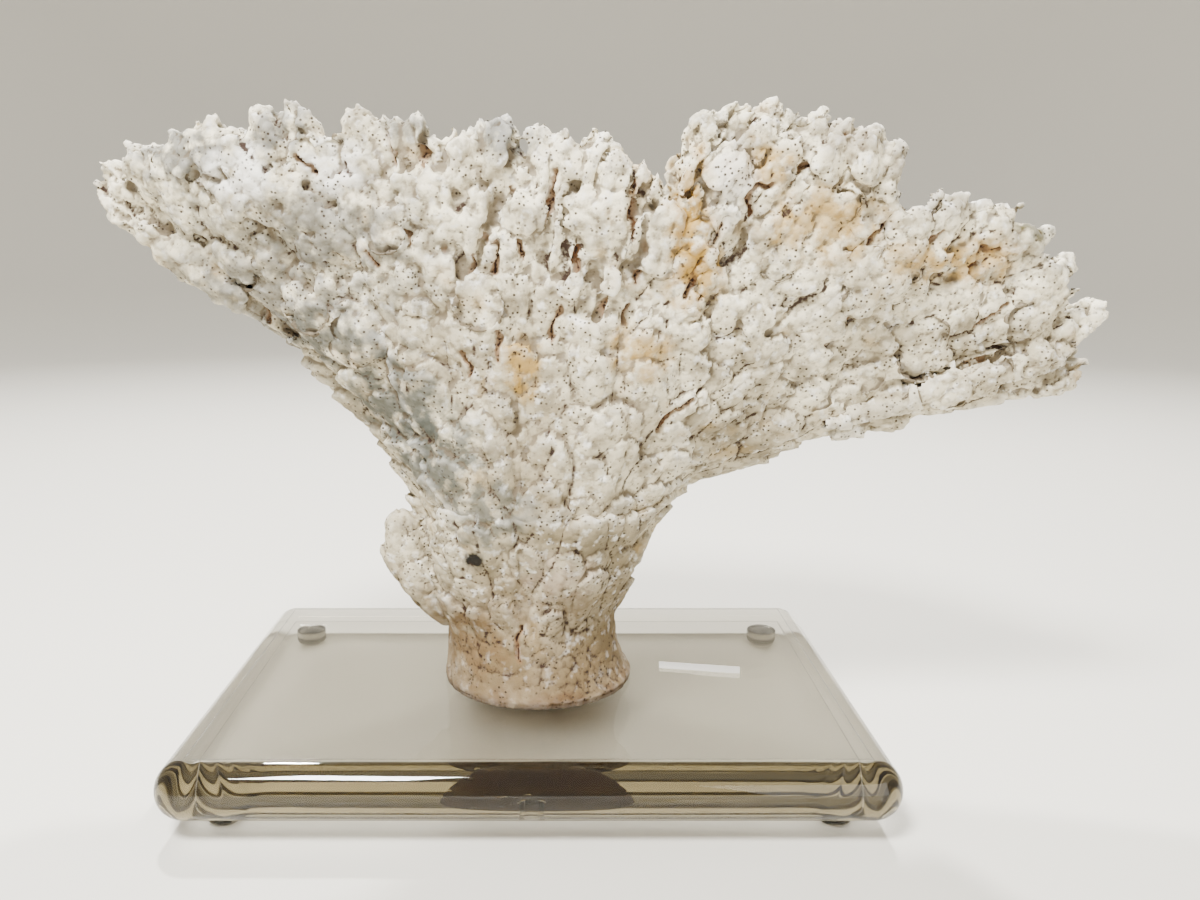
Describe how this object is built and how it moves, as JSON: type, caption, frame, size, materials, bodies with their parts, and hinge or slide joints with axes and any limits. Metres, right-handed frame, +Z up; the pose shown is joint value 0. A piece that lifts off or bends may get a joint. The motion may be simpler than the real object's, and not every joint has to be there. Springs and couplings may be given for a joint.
{
  "type": "branching coral on a clear stand",
  "caption": "Thick stony coral that flares from a cut stalk into fused fronds with knobbly rims, pinned upright on a clear bullnosed slab with soft bumpers.",
  "frame": {"origin": "middle of the object's box, on the table that its four bumpers stand on", "axes": "+X to the right along the stand's long side and the coral's spread, +Y to the back, +Z up"},
  "size_m": [0.434, 0.2032, 0.295],
  "materials": {
    "clear_acrylic": "polished clear cast acrylic",
    "clear_bumper": "clear soft polyurethane",
    "coral_skeleton": "matt bleached aragonite, porous and knobbly",
    "coral_stalk_skeleton": "matt aragonite with tan and rust stains at the cut foot"
  },
  "bodies": {
    "root": {"acrylic_base": "clear_acrylic", "bumper_front_left": "clear_bumper", "bumper_front_right": "clear_bumper", "bumper_back_left": "clear_bumper", "bumper_back_right": "clear_bumper", "mounting_pin": "clear_acrylic", "under_plate": "clear_acrylic", "coral_stalk": "coral_stalk_skeleton", "coral_side_knob": "coral_stalk_skeleton", "coral_left_fan": "coral_skeleton", "coral_centre_fan": "coral_skeleton", "coral_upper_right_lobe": "coral_skeleton", "coral_right_fan": "coral_skeleton", "coral_back_fan": "coral_skeleton"}
  },
  "joints": []
}
